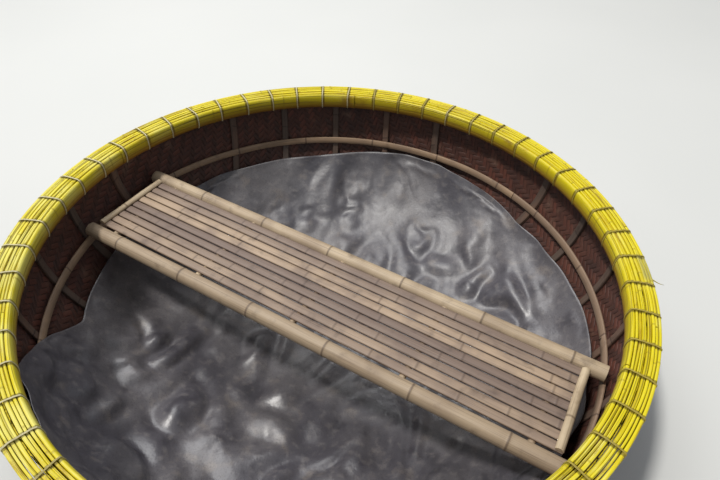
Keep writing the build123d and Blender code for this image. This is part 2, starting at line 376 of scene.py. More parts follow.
# %% A class for Geometry Nodes trees
class Grower(Graph):
    """A Geometry Nodes tree with named inputs, the first of them the path that it starts from."""

    def __init__(self, name):
        super().__init__(bpy.data.node_groups.new(name, "GeometryNodeTree"))
        self.tree.interface.new_socket("Geometry", in_out="OUTPUT", socket_type="NodeSocketGeometry")
        self.entry = self.tree.nodes.new("NodeGroupInput")
        self.path = self.given("Path", "NodeSocketGeometry")

    def given(self, name, kind="NodeSocketFloat"):
        """A named input of the tree."""
        self.tree.interface.new_socket(name, in_out="INPUT", socket_type=kind)
        return Field(self, self.entry.outputs[name])

    def keep(self, geometry, name, value):
        """Write a number to the points, under a name that a material can read."""
        settings = {"data_type": "FLOAT", "domain": "POINT"}
        sockets = {"Geometry": geometry, "Name": name, "Value": value}
        return self.node("GeometryNodeStoreNamedAttribute", settings, sockets)

    def sweep(self, path, outline, mode="Z_UP"):
        """Draw an outline object's shape along the path, as large as the path's radius says."""
        drawn = self.node("GeometryNodeObjectInfo", {}, {"Object": outline}, "Geometry")
        across, down, _ = self.parts(self.node("GeometryNodeInputPosition", {}, {}))
        drawn = self.keep(self.keep(drawn, "across", across), "height", down * -1.0)
        upright = self.node("GeometryNodeSetCurveNormal", {"mode": mode}, {"Curve": path})
        size = self.node("GeometryNodeInputRadius", {}, {})
        sockets = {"Curve": upright, "Profile Curve": drawn, "Scale": size, "Fill Caps": True}
        return self.node("GeometryNodeCurveToMesh", {}, sockets)

    def end(self, geometry):
        """Close the tree with real geometry in its material."""
        real = self.node("GeometryNodeRealizeInstances", {}, {"Geometry": geometry})
        material = self.given("Material", "NodeSocketMaterial")
        painted = self.node("GeometryNodeSetMaterial", {}, {"Geometry": real, "Material": material})
        self.node("NodeGroupOutput", {}, {0: painted}, None)
        return self.tree


def grow(name, tree, start, inputs):
    """Run a tree on a starting object and keep the plain mesh that it makes."""
    modifier = start.modifiers.new("grow", "NODES")
    modifier.node_group = tree
    for item in tree.interface.items_tree:
        if item.name in inputs:
            modifier[item.identifier] = inputs[item.name]
    depsgraph = bpy.context.evaluated_depsgraph_get()
    mesh = bpy.data.meshes.new_from_object(
        start.evaluated_get(depsgraph), preserve_all_data_layers=True, depsgraph=depsgraph
    )
    bpy.data.objects.remove(start)
    print(name, len(mesh.polygons), "faces")
    return put_in(name, mesh)


def line_object(runs, swells=None, closed=False):
    """A curve object with one spline of straight runs for each array of points."""
    curve = bpy.data.curves.new("line", "CURVE")
    curve.dimensions = "3D"
    for number, points in enumerate(runs):
        spline = curve.splines.new("POLY")
        spline.points.add(len(points) - 1)
        corners = np.column_stack((points, np.ones(len(points))))
        spline.points.foreach_set("co", corners.ravel().astype(float))
        if swells is not None:
            spline.points.foreach_set("radius", swells[number].astype(float))
        spline.use_cyclic_u = closed
    return put_in("line", curve)


def outline_object(outline):
    """A closed outline for a sweep, from (right, up) points that go round anticlockwise.

    A sweep draws an outline's y downwards, so the points are turned over and taken backwards.
    """
    turned = np.array([(across, -height, 0.0) for across, height in reversed(outline)])
    return line_object([turned], closed=True)


# %% Outlines that are swept
def eased_bar(width, height, ease, steps=3):
    """A bar's outline with round corners."""
    outline = []
    for corner, (side, end) in enumerate(((1, 1), (-1, 1), (-1, -1), (1, -1))):
        centre = (side * (width / 2 - ease), end * (height / 2 - ease))
        for step in range(steps):
            angle = math.radians(90 * (corner + step / (steps - 1)))
            outline.append((centre[0] + ease * math.cos(angle), centre[1] + ease * math.sin(angle)))
    return outline


def split_pole(width, edge, crown, steps=7):
    """A split pole's outline: a round back over a flat underside, which lies at y = 0."""
    outline = [(width / 2, 0.0)]
    for step in range(steps):
        share = 1 - 2 * step / (steps - 1)
        outline.append((share * width / 2, edge + (crown - edge) * (1 - share**2)))
    return outline + [(-width / 2, 0.0)]


def round_bar(radius, sides):
    """The outline of a round pole or line."""
    turns = [math.tau * side / sides for side in range(sides)]
    return [(radius * math.cos(turn), radius * math.sin(turn)) for turn in turns]


# %% [markdown]
# ## The woven shell
# The bowl is one mat of bamboo strips, woven flat in two directions, pressed into shape and
# coated with resin. Each strip passes over two others and under the next two, and its neighbour
# does the same one step further on. A picture of that pattern would look flat at the edge, so the
# strips are real: a tree lays out one family of them flat, and the same tree, turned by a right
# angle and with over and under swapped, makes the other.


# %% Weave the mat
strip_pitch = 0.0205
strip_half = 0.485 * strip_pitch
strip_flat = 0.78 * strip_half
strip_thin = 0.0007
strip_outline = [
    (strip_half, 0.0),
    (strip_flat, strip_thin),
    (-strip_flat, strip_thin),
    (-strip_half, 0.0),
    (-strip_flat, -strip_thin),
    (strip_flat, -strip_thin),
]
mat_depth = 0.0026
mat_rise = 0.0009
strips_across = 2 * math.ceil(skin_run / strip_pitch)


def mat_tree():
    """One family of strips, flat, each passing over two and under two of the other family."""
    make = Grower("woven mat")
    outline = make.given("Outline", "NodeSocketObject")
    count = make.given("Strips", "NodeSocketInt")
    pitch, rise, depth = make.given("Pitch"), make.given("Rise"), make.given("Depth")
    reach, swapped = make.given("Reach"), make.given("Swapped")
    half = (count - 1.0) * pitch * 0.5
    starts = {"Count": count, "Start Location": make.vector(0.0, half * -1.0, 0.0)}
    starts["Offset"] = make.vector(0.0, half, 0.0)
    places = make.node("GeometryNodeMeshLine", {"mode": "END_POINTS"}, starts)
    ends = {"Start": make.vector(half * -1.0, 0.0, 0.0), "End": make.vector(half, 0.0, 0.0)}
    strip = make.node("GeometryNodeCurvePrimitiveLine", {}, ends)
    strip = make.node("GeometryNodeResampleCurve", {}, {"Curve": strip, "Count": count})
    strips = make.node("GeometryNodeInstanceOnPoints", {}, {"Points": places, "Instance": strip})
    strips = make.node("GeometryNodeRealizeInstances", {}, {"Geometry": strips})
    position = make.node("GeometryNodeInputPosition", {}, {})
    x, y, _ = make.parts(position)
    step = (x + y * (1.0 - swapped * 2.0)) / pitch
    wave = ((step - 0.5) * (math.pi / 2)).maths("SINE") * (1.0 - swapped * 2.0)
    sway = (make.noise(position, 6.0) - 0.5) * pitch * 0.12
    strips = make.keep(strips, "along", x)
    strips = make.keep(strips, "tint", make.toss(y / pitch))
    moved = {"Geometry": strips, "Position": make.vector(x, y + sway, depth + rise * wave)}
    strips = make.node("GeometryNodeSetPosition", {}, moved)
    distance = (x * x + y * y).maths("SQRT")
    outside = distance.maths("GREATER_THAN", reach + pitch)
    sockets = {"Geometry": strips, "Selection": outside}
    strips = make.node("GeometryNodeDeleteGeometry", {"domain": "POINT"}, sockets)
    strips = make.node("GeometryNodeSetCurveRadius", {}, {"Curve": strips, "Radius": 1.0})
    woven = make.sweep(strips, outline)
    turn = make.vector(0.0, 0.0, swapped * (math.pi / 2))
    return make.end(make.node("GeometryNodeTransform", {}, {"Geometry": woven, "Rotation": turn}))


def bend_piece(piece):
    """Bend a flat piece to the bowl: its x and y run along the curve, and its z is the depth."""
    points = mesh_points(piece.data)
    distance, bearing = flat_polar(points)
    bent = on_bowl(distance, bearing + bench_heading, points[:, 2])
    piece.data.vertices.foreach_set("co", bent.ravel())
    piece.data.update()


# %% [markdown]
# The strips are dark red-brown under their coat of resin, each a little different. The tone comes
# from the number that a strip's mesh carries, and the fibres from noise that is drawn out along
# the strip by the places that it carries too. Below the waterline the outside is stained.


# %% Finish the strips
# The rim's paint begins between these two heights
paint_edge = (rim_z - 0.026, rim_z - 0.016)


def resin_strips(name, lighter, darker):
    """Bamboo strips under worn brown resin, stained where the water reaches."""
    look = Finish(name)
    place = look.place()
    height = look.parts(place)[2]
    tint, along, across = (look.carried(each) for each in ("tint", "along", "across"))
    fibres = look.noise(look.vector(along * 14.0, across * 900.0, tint * 40.0), 1.0, 4.0)
    patches = look.noise(place, 4.5, 4.0)
    dusty = look.noise(place, 11.0, 5.0)
    tone = look.coats(look.mix(tint, lighter, darker), [
        (fibres, 0.42, 0.72, 0.5, colour(122, 80, 62)),
        (patches, 0.5, 0.7, 0.65, colour(54, 40, 38)),
        (dusty, 0.56, 0.75, 0.45, colour(134, 108, 92)),
    ])
    wet = 1.0 - (height + (patches - 0.5) * 0.06).between(-0.015, 0.035)
    tone = look.mix(wet * 0.7, tone, colour(58, 58, 46))
    painted = (height + (patches - 0.5) * 0.01).between(*paint_edge)
    tone = look.mix(painted, tone, colour(204, 184, 14))
    return look.finish(tone, fibres * 0.2 + 0.42, fibres * 0.6 + dusty * 0.4, 0.0006)


weave = mat_tree()
mats = []
families = [
    ("woven_strips_lengthwise", 0.0, colour(80, 50, 43), colour(62, 43, 39)),
    ("woven_strips_crosswise", 1.0, colour(98, 57, 47), colour(70, 45, 39)),
]
for name, swapped, lighter, darker in families:
    resin = resin_strips(name.replace("_", " "), lighter, darker)
    outline = outline_object(strip_outline)
    sizes = {"Outline": outline, "Strips": strips_across, "Pitch": strip_pitch, "Rise": mat_rise}
    sizes |= {"Depth": mat_depth, "Reach": skin_run, "Swapped": swapped, "Material": resin}
    mats.append(grow(name, weave, line_object([np.array([(0, 0, 0), (0, 0, 1)])]), sizes))
    bend_piece(mats[-1])
    bpy.data.objects.remove(outline)


# %% [markdown]
# Between the strips a boat like this is filled with resin. A thin closed bowl inside the weave
# stands for that filling, so that no light comes through the gaps.


# %% Fill the weave
def bowl_sheet(name, outer_depth, inner_depth, reach, rows, sides):
    """A closed bowl-shaped sheet between two depths, from the middle out to a distance."""
    distances = np.linspace(0.0, reach, rows + 1)
    bearings = np.linspace(0.0, math.tau, sides, endpoint=False)
    points, faces = [], []
    for depth in (outer_depth, inner_depth):
        radii, heights = bowl_station(distances, depth)
        points.append((0.0, 0.0, heights[0]))
        for radius, height in zip(radii[1:], heights[1:]):
            ring = [(radius * math.cos(turn), radius * math.sin(turn), height) for turn in bearings]
            points.extend(ring)
    layer = 1 + rows * sides
    for side in range(sides):
        after = (side + 1) % sides
        faces.append((0, 1 + after, 1 + side))
        faces.append((layer, layer + 1 + side, layer + 1 + after))
        for row in range(rows - 1):
            low, high = 1 + row * sides, 1 + (row + 1) * sides
            faces.append((low + side, low + after, high + after, high + side))
            inside = (low + side, high + side, high + after, low + after)
            faces.append(tuple(layer + corner for corner in inside))
        edge = 1 + (rows - 1) * sides
        faces.append((edge + side, edge + after, layer + edge + after, layer + edge + side))
    print(name, len(faces), "faces")
    return mesh_object(name, points, faces)


def resin_filling():
    """Nearly black resin in the gaps of the weave."""
    look = Finish("resin filling")
    place = look.place()
    lumps = look.noise(place, 90.0, 4.0)
    tone = look.mix(lumps, colour(46, 33, 29), colour(66, 47, 40))
    painted = look.parts(place)[2].between(*paint_edge)
    tone = look.mix(painted, tone, colour(190, 168, 12))
    return look.finish(tone, lumps * 0.2 + 0.5, lumps, 0.0008)


filling = bowl_sheet("resin_filling", 0.0023, 0.0030, skin_run - 0.002, rows=60, sides=160)
filling.data.materials.append(resin_filling())

# %% [markdown]
# ## One tree for every length of bamboo
# The rim's laths and hoops, the rising and the bench's slats are all the same thing: bamboo, split
# or whole, that follows a line and is never quite straight. One tree sweeps an outline along a
# path, with a slow sway sideways and a slow heave up and down. At the lashings it draws the piece
# towards its neighbours. A bamboo's nodes are a little thicker, and the path's own radius says
# where they are, so that the path has more points there and needs fewer elsewhere.


# %% Grow a length of bamboo
node_swell = 0.045
node_half = 0.007


def run_along(place, length, step, pitch, shift):
    """Points of one length on the line place(distance), closer at its nodes, and its radii."""
    nodes = np.arange(shift, length, pitch)
    offsets = np.array([-1.0, -0.5, 0.0, 0.5, 1.0]) * node_half
    near = (nodes[:, None] + offsets).ravel()
    near = near[(near > 0.001) & (near < length - 0.001)]
    along = np.union1d(np.linspace(0.0, length, max(2, round(length / step))), near)
    away = np.abs(along[:, None] - np.append(nodes, 99.0)).min(axis=1)
    return place(along), 1.0 + node_swell * np.clip(1 - away / node_half, 0, 1)


def straight_run(middle, way, start, length, step, pitch, shift):
    """A straight length that goes a way past a middle, and starts at a distance from it."""

    def place(along):
        return middle + (along + start)[:, None] * way

    return run_along(place, length, step, pitch, shift)


def bamboo_tree():
    """An outline swept along its path, swaying, heaving and drawn in at the lashings."""
    make = Grower("length of bamboo")
    outline = make.given("Outline", "NodeSocketObject")
    sway, heave, wave = make.given("Sway"), make.given("Heave"), make.given("Wavelength")
    lashed, pull, seed = make.given("Lashings"), make.given("Pull"), make.given("Seed")
    number = make.node("GeometryNodeCurveOfPoint", {}, {}, "Curve Index")
    along = make.node("GeometryNodeSplineParameter", {}, {}, "Length")
    x, y, _ = make.parts(make.node("GeometryNodeInputPosition", {}, {}))
    tangent_x, tangent_y, _ = make.parts(make.node("GeometryNodeInputTangent", {}, {}))
    aside = make.noise(make.vector(along / wave, seed * 3.7, number * 5.1), 1.0, 1.5) - 0.5
    upward = make.noise(make.vector(along / wave, seed * 3.7 + 20.0, number * 5.1), 1.0, 1.5) - 0.5
    drawn = 0.5 - (y.maths("ARCTAN2", x) * lashed).maths("COSINE") * 0.5
    aside = aside * sway * 4.0 + drawn * drawn * pull
    shift = make.vector(tangent_y * aside, tangent_x * aside * -1.0, upward * heave * 4.0)
    path = make.keep(make.path, "along", along + number * 4.0 + seed)
    swell = (make.node("GeometryNodeInputRadius", {}, {}) - 1.0) / node_swell
    path = make.keep(path, "node", swell)
    path = make.keep(path, "tint", make.toss(seed * 7.3 + number * 0.37))
    path = make.node("GeometryNodeSetPosition", {}, {"Geometry": path, "Offset": shift})
    return make.end(make.sweep(path, outline))


bamboo = bamboo_tree()


def bamboo_piece(name, outline, runs, material, seed, sway, heave, wave=0.35, lashed=0, pull=0.0):
    """One piece of bamboo in one or more lengths."""
    drawn = outline_object(outline)
    sizes = {"Outline": drawn, "Sway": sway, "Heave": heave, "Wavelength": wave, "Pull": pull}
    sizes |= {"Lashings": float(lashed), "Seed": float(seed), "Material": material}
    start = line_object([points for points, _ in runs], [swells for _, swells in runs])
    piece = grow(name, bamboo, start, sizes)
    bpy.data.objects.remove(drawn)
    shade(piece.data)
    return piece


# %% [markdown]
# ## The rim
# A smooth round-faced hoop lies inside, a flatter one outside, and six thin laths stand on edge
# between them, three on each side of the woven edge. Each ring is two lengths that meet end to
# end. They were painted yellow together, so the paint is thick on top and worn pale along the
# edges. Shade is painted into the colour too: darker down in the gaps and down the hoops' faces,
# and in a narrow band at each lashing, where its shadow falls.


# %% Paint for the rim
lashing_count = 52


def yellow_paint(name, high_z, fade, deep):
    """Yellow paint over bamboo, worn on its upper edges, with painted shade down in the gaps and on the
    hoops' lower faces, and painted shadows at the lashings.
    """
    look = Finish(name)
    place = look.place()
    x, y, z = look.parts(place)
    tint, along, across, up = (look.carried(each) for each in ("tint", "along", "across", "height"))
    fibres = look.noise(look.vector(along * 9.0, across * 700.0, up * 700.0 + tint * 30.0), 1.0, 4.0)
    blotch = look.noise(look.vector(along * 7.0, across * 60.0, tint * 9.0), 1.0, 4.0)
    flecks = look.noise(place, 420.0, 2.0)
    rubbed = look.noise(place, 7.0, 3.0) + (0.0 - x - y) * 0.14
    splits = look.noise(look.vector(along * 1.6, across * 190.0, up * 190.0 + tint * 70.0), 1.0, 2.0)
    bearing, radius = y.maths("ARCTAN2", x), (x * x + y * y).maths("SQRT")
    # Painted shadow: the paint darkens in a narrow band at each lashing, where the line's shadow falls on
    # the laths
    lashed = 0.5 - (bearing * float(lashing_count)).maths("COSINE") * 0.5
    tone = look.coats(look.mix(tint, colour(230, 214, 20), colour(208, 190, 6)), [
        (blotch, 0.5, 0.75, 0.75, colour(192, 160, 8)),
        (fibres + rubbed * 0.9, 0.96, 1.16, 0.65, colour(234, 228, 128)),
        (flecks, 0.62, 0.72, 0.4, colour(240, 235, 160)),
        (splits, 0.57, 0.63, 0.7, colour(116, 98, 8)),
        (lashed + (flecks - 0.5) * 0.04, 0.935, 0.98, 0.7, colour(66, 50, 8)),
        (blotch + flecks * 0.25, 0.74, 0.84, 0.6, colour(140, 112, 20)),
    ])
    # The outer laths are bare and grey on a short stretch at the right
    bare = bearing.between(-0.19, -0.14) * (1.0 - bearing.between(-0.08, -0.03))
    bare = bare * radius.between(0.966, 0.976) * fibres.between(0.3, 0.62)
    tone = look.mix(bare * 0.85, tone, colour(150, 146, 98))
    # Painted shade: the colour darkens towards the bottom of each piece, down in the gaps between the laths
    # and down the inner hoop's face
    low = (high_z - z).between(0.002, fade)
    tone = look.mix(low, tone, deep)
    node = look.carried("node").between(0.25, 0.9)
    tone = look.mix(node * 0.45, tone, colour(150, 128, 18))
    relief = fibres * 0.7 + flecks * 0.3 - splits.between(0.55, 0.63) * 0.8
    return look.finish(tone, fibres * 0.25 + 0.34 + low * 0.2, relief, 0.0008)


# The last colour is the painted shade low in the gaps and down the hoops' faces
lath_paint = yellow_paint("yellow paint on laths", rim_z - 0.003, 0.016, colour(116, 100, 14))
hoop_paint = yellow_paint("yellow paint on hoops", rim_z - 0.008, 0.058, colour(146, 102, 12))


# %% Make the rim's laths and hoops
def ring_runs(node, joint, step=0.012, pitch=0.31, gap=0.003):
    """The two lengths of a ring, centred on its node, which meet at a joint and opposite it."""
    inner, outer, low, high = ring_size(node)
    radius, height = (inner + outer) / 2, (low + high) / 2
    runs = []
    for turn in (joint, joint + 180):
        start = math.radians(turn) + gap / 2 / radius

        def place(along, start=start):
            bearing = start + along / radius
            flat = (radius * np.cos(bearing), radius * np.sin(bearing), np.full_like(along, height))
            return np.column_stack(flat)

        shift = 0.05 + 0.4 * pitch * (1 + math.sin(9 * math.radians(turn)))
        runs.append(run_along(place, math.pi * radius - gap, step, pitch, shift))
    return runs


lath_joints = [20, 100, 305, 65, 250, 340]
# The two laths against the skin are wider than their nodes, and the others narrower
skin_laths = (3, 4)
skin_trim, lath_trim = -0.0010, 0.0013
lath_drop = 0.0022
lath_ease = 0.0019
lashing_pull = 0.0006
rim = []
for number, (node, joint) in enumerate(zip(laths, lath_joints), 1):
    inner, outer, low, high = ring_size(node)
    trim = skin_trim if number in skin_laths else lath_trim
    outline = eased_bar(outer - inner - trim, high - low - lath_drop, lath_ease)
    pull = lashing_pull if number <= 3 else -lashing_pull
    lath = bamboo_piece(
        f"{node}_bamboo", outline, ring_runs(node, joint), lath_paint, seed=number,
        sway=0.0011, heave=0.0017, wave=0.24, lashed=lashing_count, pull=pull,
    )
    rim.append((lath, node))


def round_hoop(width, height, bulge, ease=0.002, steps=9):
    """The inner hoop's outline: flat outboard, round inboard."""
    edge = -width / 2 + bulge
    outline = [(width / 2, height / 2 - ease), (width / 2 - ease, height / 2)]
    for step in range(steps):
        share = 1 - 2 * step / (steps - 1)
        outline.append((edge - bulge * math.sqrt(max(0.0, 1 - share**2)), share * height / 2))
    return outline + [(width / 2 - ease, -height / 2), (width / 2, -height / 2 + ease)]


inner, outer, low, high = ring_size("inner_hoop")
outline = round_hoop(outer - inner, high - low, 0.006)
hoop_runs = {"inner_hoop": ring_runs("inner_hoop", 150), "outer_hoop": ring_runs("outer_hoop", 185)}
hoop_outlines = {"inner_hoop": outline}
inner, outer, low, high = ring_size("outer_hoop")
hoop_outlines["outer_hoop"] = eased_bar(outer - inner, high - low, 0.0035, 4)

# A splinter has sprung from the outer hoop at the right: it leaves the hoop and curls up
splinter_bearing = -0.15
splinter_radius = outer - 0.001
root = np.array((
    math.cos(splinter_bearing) * splinter_radius,
    math.sin(splinter_bearing) * splinter_radius,
    high - 0.004,
))
share = np.linspace(0.0, 1.0, 9)[:, None]
splinter = root + share * (0.018, -0.040, 0.004) + share**2 * (0.004, 0.010, 0.003)
hoop_runs["outer_hoop"].append((splinter, np.linspace(0.085, 0.02, len(splinter))))
for node, seed in (("inner_hoop", 8), ("outer_hoop", 11)):
    hoop = bamboo_piece(
        f"{node}_bamboo", hoop_outlines[node], hoop_runs[node], hoop_paint, seed, sway=0.0004, heave=0.0005
    )
    rim.append((hoop, node))

# %% [markdown]
# ## The lashings
# Fifty-two bindings hold the rim together. Each is a pale line that goes twice round everything,
# through the weave and up again. The line is drawn tight, so its path is the outline that a band
# would take round the section of the rim: at every slant, the point that lies farthest out.


# %% Wind the lashings
line_radius = 0.0011
rim_nodes = ["inner_hoop", *laths, "outer_hoop"]


def tight_band(clearance, steps=90):
    """The closed line drawn tight round the rim's section, as (radius, height) points."""
    section = np.vstack([np.column_stack(ring_section(node)) for node in rim_nodes])
    band = []
    for slant in np.linspace(0.0, math.tau, steps, endpoint=False):
        outward = np.array((math.cos(slant), math.sin(slant)))
        point = section[np.argmax(section @ outward)] + outward * clearance
        if not band or np.hypot(*(point - band[-1])) > 0.0008:
            band.append(point)
    return np.array(band)


def lashing_tree():
    """Bindings set round the rim, each a little slanting and uneven."""
    make = Grower("lashings")
    outline = make.given("Outline", "NodeSocketObject")
    count, slant = make.given("Count", "NodeSocketInt"), make.given("Slant")
    middle, wander = make.given("Middle"), make.given("Wander")
    places = make.node("GeometryNodeMeshLine", {}, {"Count": count, "Offset": (0.0, 0.0, 0.0)})
    number = make.node("GeometryNodeInputIndex", {}, {})
    turn = make.vector(0.0, 0.0, (number + 0.5) * math.tau / count)
    sockets = {"Points": places, "Instance": make.path, "Rotation": turn}
    bands = make.node("GeometryNodeInstanceOnPoints", {}, sockets)
    bands = make.node("GeometryNodeRealizeInstances", {}, {"Geometry": bands})
    position = make.node("GeometryNodeInputPosition", {}, {})
    x, y, _ = make.parts(position)
    radius = (x * x + y * y).maths("SQRT")
    toss = make.toss((y.maths("ARCTAN2", x) * count / math.tau).maths("FLOOR") + 0.5)
    bands = make.keep(bands, "tint", toss)
    bands = make.keep(bands, "along", make.node("GeometryNodeSplineParameter", {}, {}, "Length"))
    leaning = (toss - 0.5) * slant * (radius - middle) / 0.04
    drift = leaning + (make.noise(position, 34.0, 1.0) - 0.5) * wander
    shift = make.vector(y * -1.0 / radius * drift, x / radius * drift, 0.0)
    bands = make.node("GeometryNodeSetPosition", {}, {"Geometry": bands, "Offset": shift})
    return make.end(make.sweep(bands, outline, "MINIMUM_TWIST"))


def pale_line():
    """A pale twisted line, stained by the rim's yellow paint here and there."""
    look = Finish("pale lashing line")
    place = look.place()
    along, across, up = look.carried("along"), look.carried("across"), look.carried("height")
    twist = (along * 2600.0 + across * 1500.0 + up * 900.0).maths("SINE") * 0.5 + 0.5
    dirt = look.noise(place, 45.0, 3.0)
    x, y, _ = look.parts(place)
    stained = (look.noise(place, 2.6, 2.0) + look.carried("tint") * 0.2 + x * 0.45).between(0.45, 0.8)
    tone = look.mix(stained * 0.9, colour(236, 228, 186), colour(180, 160, 32))
    tone = look.mix(dirt.between(0.52, 0.78) * 0.45, tone, colour(172, 156, 104))
    tone = look.mix((1.0 - twist) * 0.22, tone, colour(150, 134, 84))
    return look.finish(tone, twist * 0.1 + 0.55, twist, 0.0004)


strand = tight_band(line_radius + 0.0001)
strand_aside = 1.12 * line_radius
runs = []
for aside in (-strand_aside, strand_aside):
    runs.append(np.column_stack((strand[:, 0], np.full(len(strand), aside), strand[:, 1])))
outline = outline_object(round_bar(line_radius, 6))
sizes = {"Outline": outline, "Count": lashing_count, "Slant": 0.009, "Wander": 0.003}
sizes |= {"Middle": float(strand[:, 0].mean()), "Material": pale_line()}
lashings = grow("rim_lashing_lines", lashing_tree(), line_object(runs, closed=True), sizes)
shade(lashings.data)
bpy.data.objects.remove(outline)
rim.append((lashings, "rim_lashings"))

# %% [markdown]
# ## Bare bamboo
# The ribs, the rising and the bench are unpainted. Bamboo shows fine fibres along its length, a
# darker ring at each node, a grey film where it has weathered and paler wood where it is rubbed.
# One function makes all of these finishes from a few colours. The swept pieces carry their own
# places along and across, and the CAD pieces take them from where they lie in the boat.


# %% A finish for bare bamboo
def bare_bamboo(grain, node, tint, tones, ring=0.7):
    """Bamboo with fibres along its grain, nodes, a weathered film and dirt."""
    look, (fresh, grey, dark) = grain.graph, tones
    place = look.place()
    fibres = look.noise(grain, 1.0, 5.0)
    film = look.noise(place, 6.5, 5.0)
    smudge = look.noise(place, 19.0, 4.0)
    tone = look.coats(look.mix(tint, fresh, grey), [
        (film, 0.4, 0.66, 0.7, grey),
        (fibres, 0.5, 0.8, 0.65, dark),
        (smudge, 0.55, 0.78, 0.5, dark),
        (1.0 - fibres, 0.55, 0.75, 0.3, fresh),
    ])
    tone = look.mix(node * ring, tone, dark)
    return look.finish(tone, film * 0.25 + 0.42, fibres * 0.6 + node * 0.5, 0.0007)


def swept_bamboo(name, tones, ring=0.7):
    """Bare bamboo for a swept piece."""
    look = Finish(name)
    tint, along, across, up = (look.carried(each) for each in ("tint", "along", "across", "height"))
    grain = look.vector(along * 5.0, across * 420.0 + tint * 50.0, up * 420.0)
    return bare_bamboo(grain, look.carried("node").between(0.2, 0.9), tint, tones, ring)


def placed_bamboo(name, heading, node_pitch, tones):
    """Bare bamboo for a CAD piece that lies at a heading, in radians from the X axis."""
    look = Finish(name)
    x, y, z = look.parts(look.place())
    length = x * math.cos(heading) + y * math.sin(heading)
    width = y * math.cos(heading) - x * math.sin(heading)
    toss = look.toss((width / 0.1).maths("ROUND"))
    grain = look.vector(length * 5.0, width * 420.0, z * 6.0)
    cycle = ((length.maths("ABSOLUTE") + z) / node_pitch + toss).maths("FRACT") - 0.5
    node = 1.0 - cycle.maths("ABSOLUTE").between(0.004, 0.016)
    return bare_bamboo(grain, node, toss, tones)


def finish_nodes(finishes):
    """Give the CAD nodes that stay in view their finish, by the name that they share."""
    for node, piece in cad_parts.items():
        finish = finishes.get(node.rsplit("_", 1)[0])
        if finish:
            piece.data.materials.clear()
            piece.data.materials.append(finish)


# %% Finish the ribs
rib_tones = (colour(112, 88, 74), colour(86, 74, 66), colour(48, 38, 34))
rib_node_pitch = 0.27
finish_nodes({
    "rib_along": placed_bamboo("rib bamboo along", 0.0, rib_node_pitch, rib_tones),
    "rib_across": placed_bamboo("rib bamboo across", math.pi / 2, rib_node_pitch, rib_tones),
})


# %% Make the rising
def tilted_bar(node, ease=0.002):
    """A ring's leaning outline, about its centre, from the node's own highest and lowest edges."""
    radii, heights = ring_section(node)
    inner, outer, low, high = ring_size(node)
    middle = (inner + outer) / 2
    corners = []
    for level, side in ((high, max), (high, min), (low, min), (low, max)):
        edge = side(radii[np.abs(heights - level) < 0.0005])
        corners.append(np.array((edge - middle, level - (low + high) / 2)))
    outline = []
    for number, corner in enumerate(corners):
        for other in (corners[number - 1], corners[(number + 1) % 4]):
            outline.append(tuple(corner + (other - corner) / np.hypot(*(other - corner)) * ease))
    return outline


rising_tones = (colour(168, 140, 112), colour(132, 110, 92), colour(74, 56, 46))
rising = bamboo_piece(
    "rising_bamboo", tilted_bar("rising"), ring_runs("rising", 215, 0.014),
    swept_bamboo("rising bamboo", rising_tones), seed=21, sway=0.0006, heave=0.0012,
)

# %% [markdown]
# ## The bench
# Two thick poles rest on the rising, short round bearers are let into them, and nine split poles
# lie over the bearers side by side. A cross batten holds the slats at each end.

# %% Make the slats
slat_tones = (colour(184, 160, 134), colour(122, 104, 94), colour(66, 52, 46))
slat_finish = swept_bamboo("slat bamboo", slat_tones, ring=0.4)
slat_reach = 0.864
slat_node_pitch = 0.285
bench = []
for number, node in enumerate(slats, 1):
    (back, _), (near, far), (low, high) = bench_size(node)
    points = node_points(node)
    cross = points @ crosswise
    shortest = min(
        (points[np.abs(cross - side) < 0.002] @ lengthwise).max() for side in (near, far)
    )
    # Each slat ends 1 to 5 mm short of its room, and has its first node at a place of its own
    reach = min(shortest, -back, slat_reach) - 0.001 - 0.004 * abs(math.sin(number * 2.4))
    first_node = 0.08 + 0.2 * abs(math.sin(number * 1.7))
    middle = crosswise * (near + far) / 2 + upward * low
    run = straight_run(middle, lengthwise, -reach, 2 * reach, 0.02, slat_node_pitch, first_node)
    outline = split_pole(far - near - 0.001, 0.0052, high - low - 0.0003)
    slat = bamboo_piece(
        f"{node}_bamboo", outline, [run], slat_finish, seed=30 + number, sway=0.0009, heave=0.0, wave=0.5
    )
    bench.append((slat, node))

# %% Make the end battens
batten_tones = (colour(206, 188, 158), colour(172, 152, 124), colour(104, 84, 64))
batten_finish = swept_bamboo("batten bamboo", batten_tones)
batten_trim = 0.002
for number, node in enumerate(("end_batten_left", "end_batten_right")):
    (back, front), (near, far), (low, high) = bench_size(node)
    middle = lengthwise * (back + front) / 2 + upward * low
    length = far - near - 2 * batten_trim
    run = straight_run(middle, crosswise, near + batten_trim, length, step=0.012, pitch=0.21, shift=0.11)
    outline = split_pole(front - back - 0.001, 0.004, high - low - 0.0005)
    batten = bamboo_piece(
        f"{node}_bamboo", outline, [run], batten_finish, seed=51 + number, sway=0.0016, heave=0.0, wave=0.16
    )
    bench.append((batten, node))

# %% Make the poles and finish the bearers
pole_tones = (colour(200, 180, 150), colour(152, 132, 110), colour(86, 70, 58))
pole_finish = swept_bamboo("pole bamboo", pole_tones)
pole_radius = 0.026
pole_sides = 32
pole_node_pitch = 0.29
bearer_node_pitch = 0.23
bearer_heading = bench_heading + math.pi / 2
finish_nodes({"bearer": placed_bamboo("bearer bamboo", bearer_heading, bearer_node_pitch, pole_tones)})


def wall_reach(node):
    """How far a straight piece can reach along the bench before its farther edge meets the wall."""
    _, (near, far), (low, _) = bench_size(node)
    radii, heights = bowl_station(curve_places, rib_tops(curve_places))
    room = np.interp(low, heights, radii)
    return math.sqrt(room**2 - max(abs(near), abs(far)) ** 2)


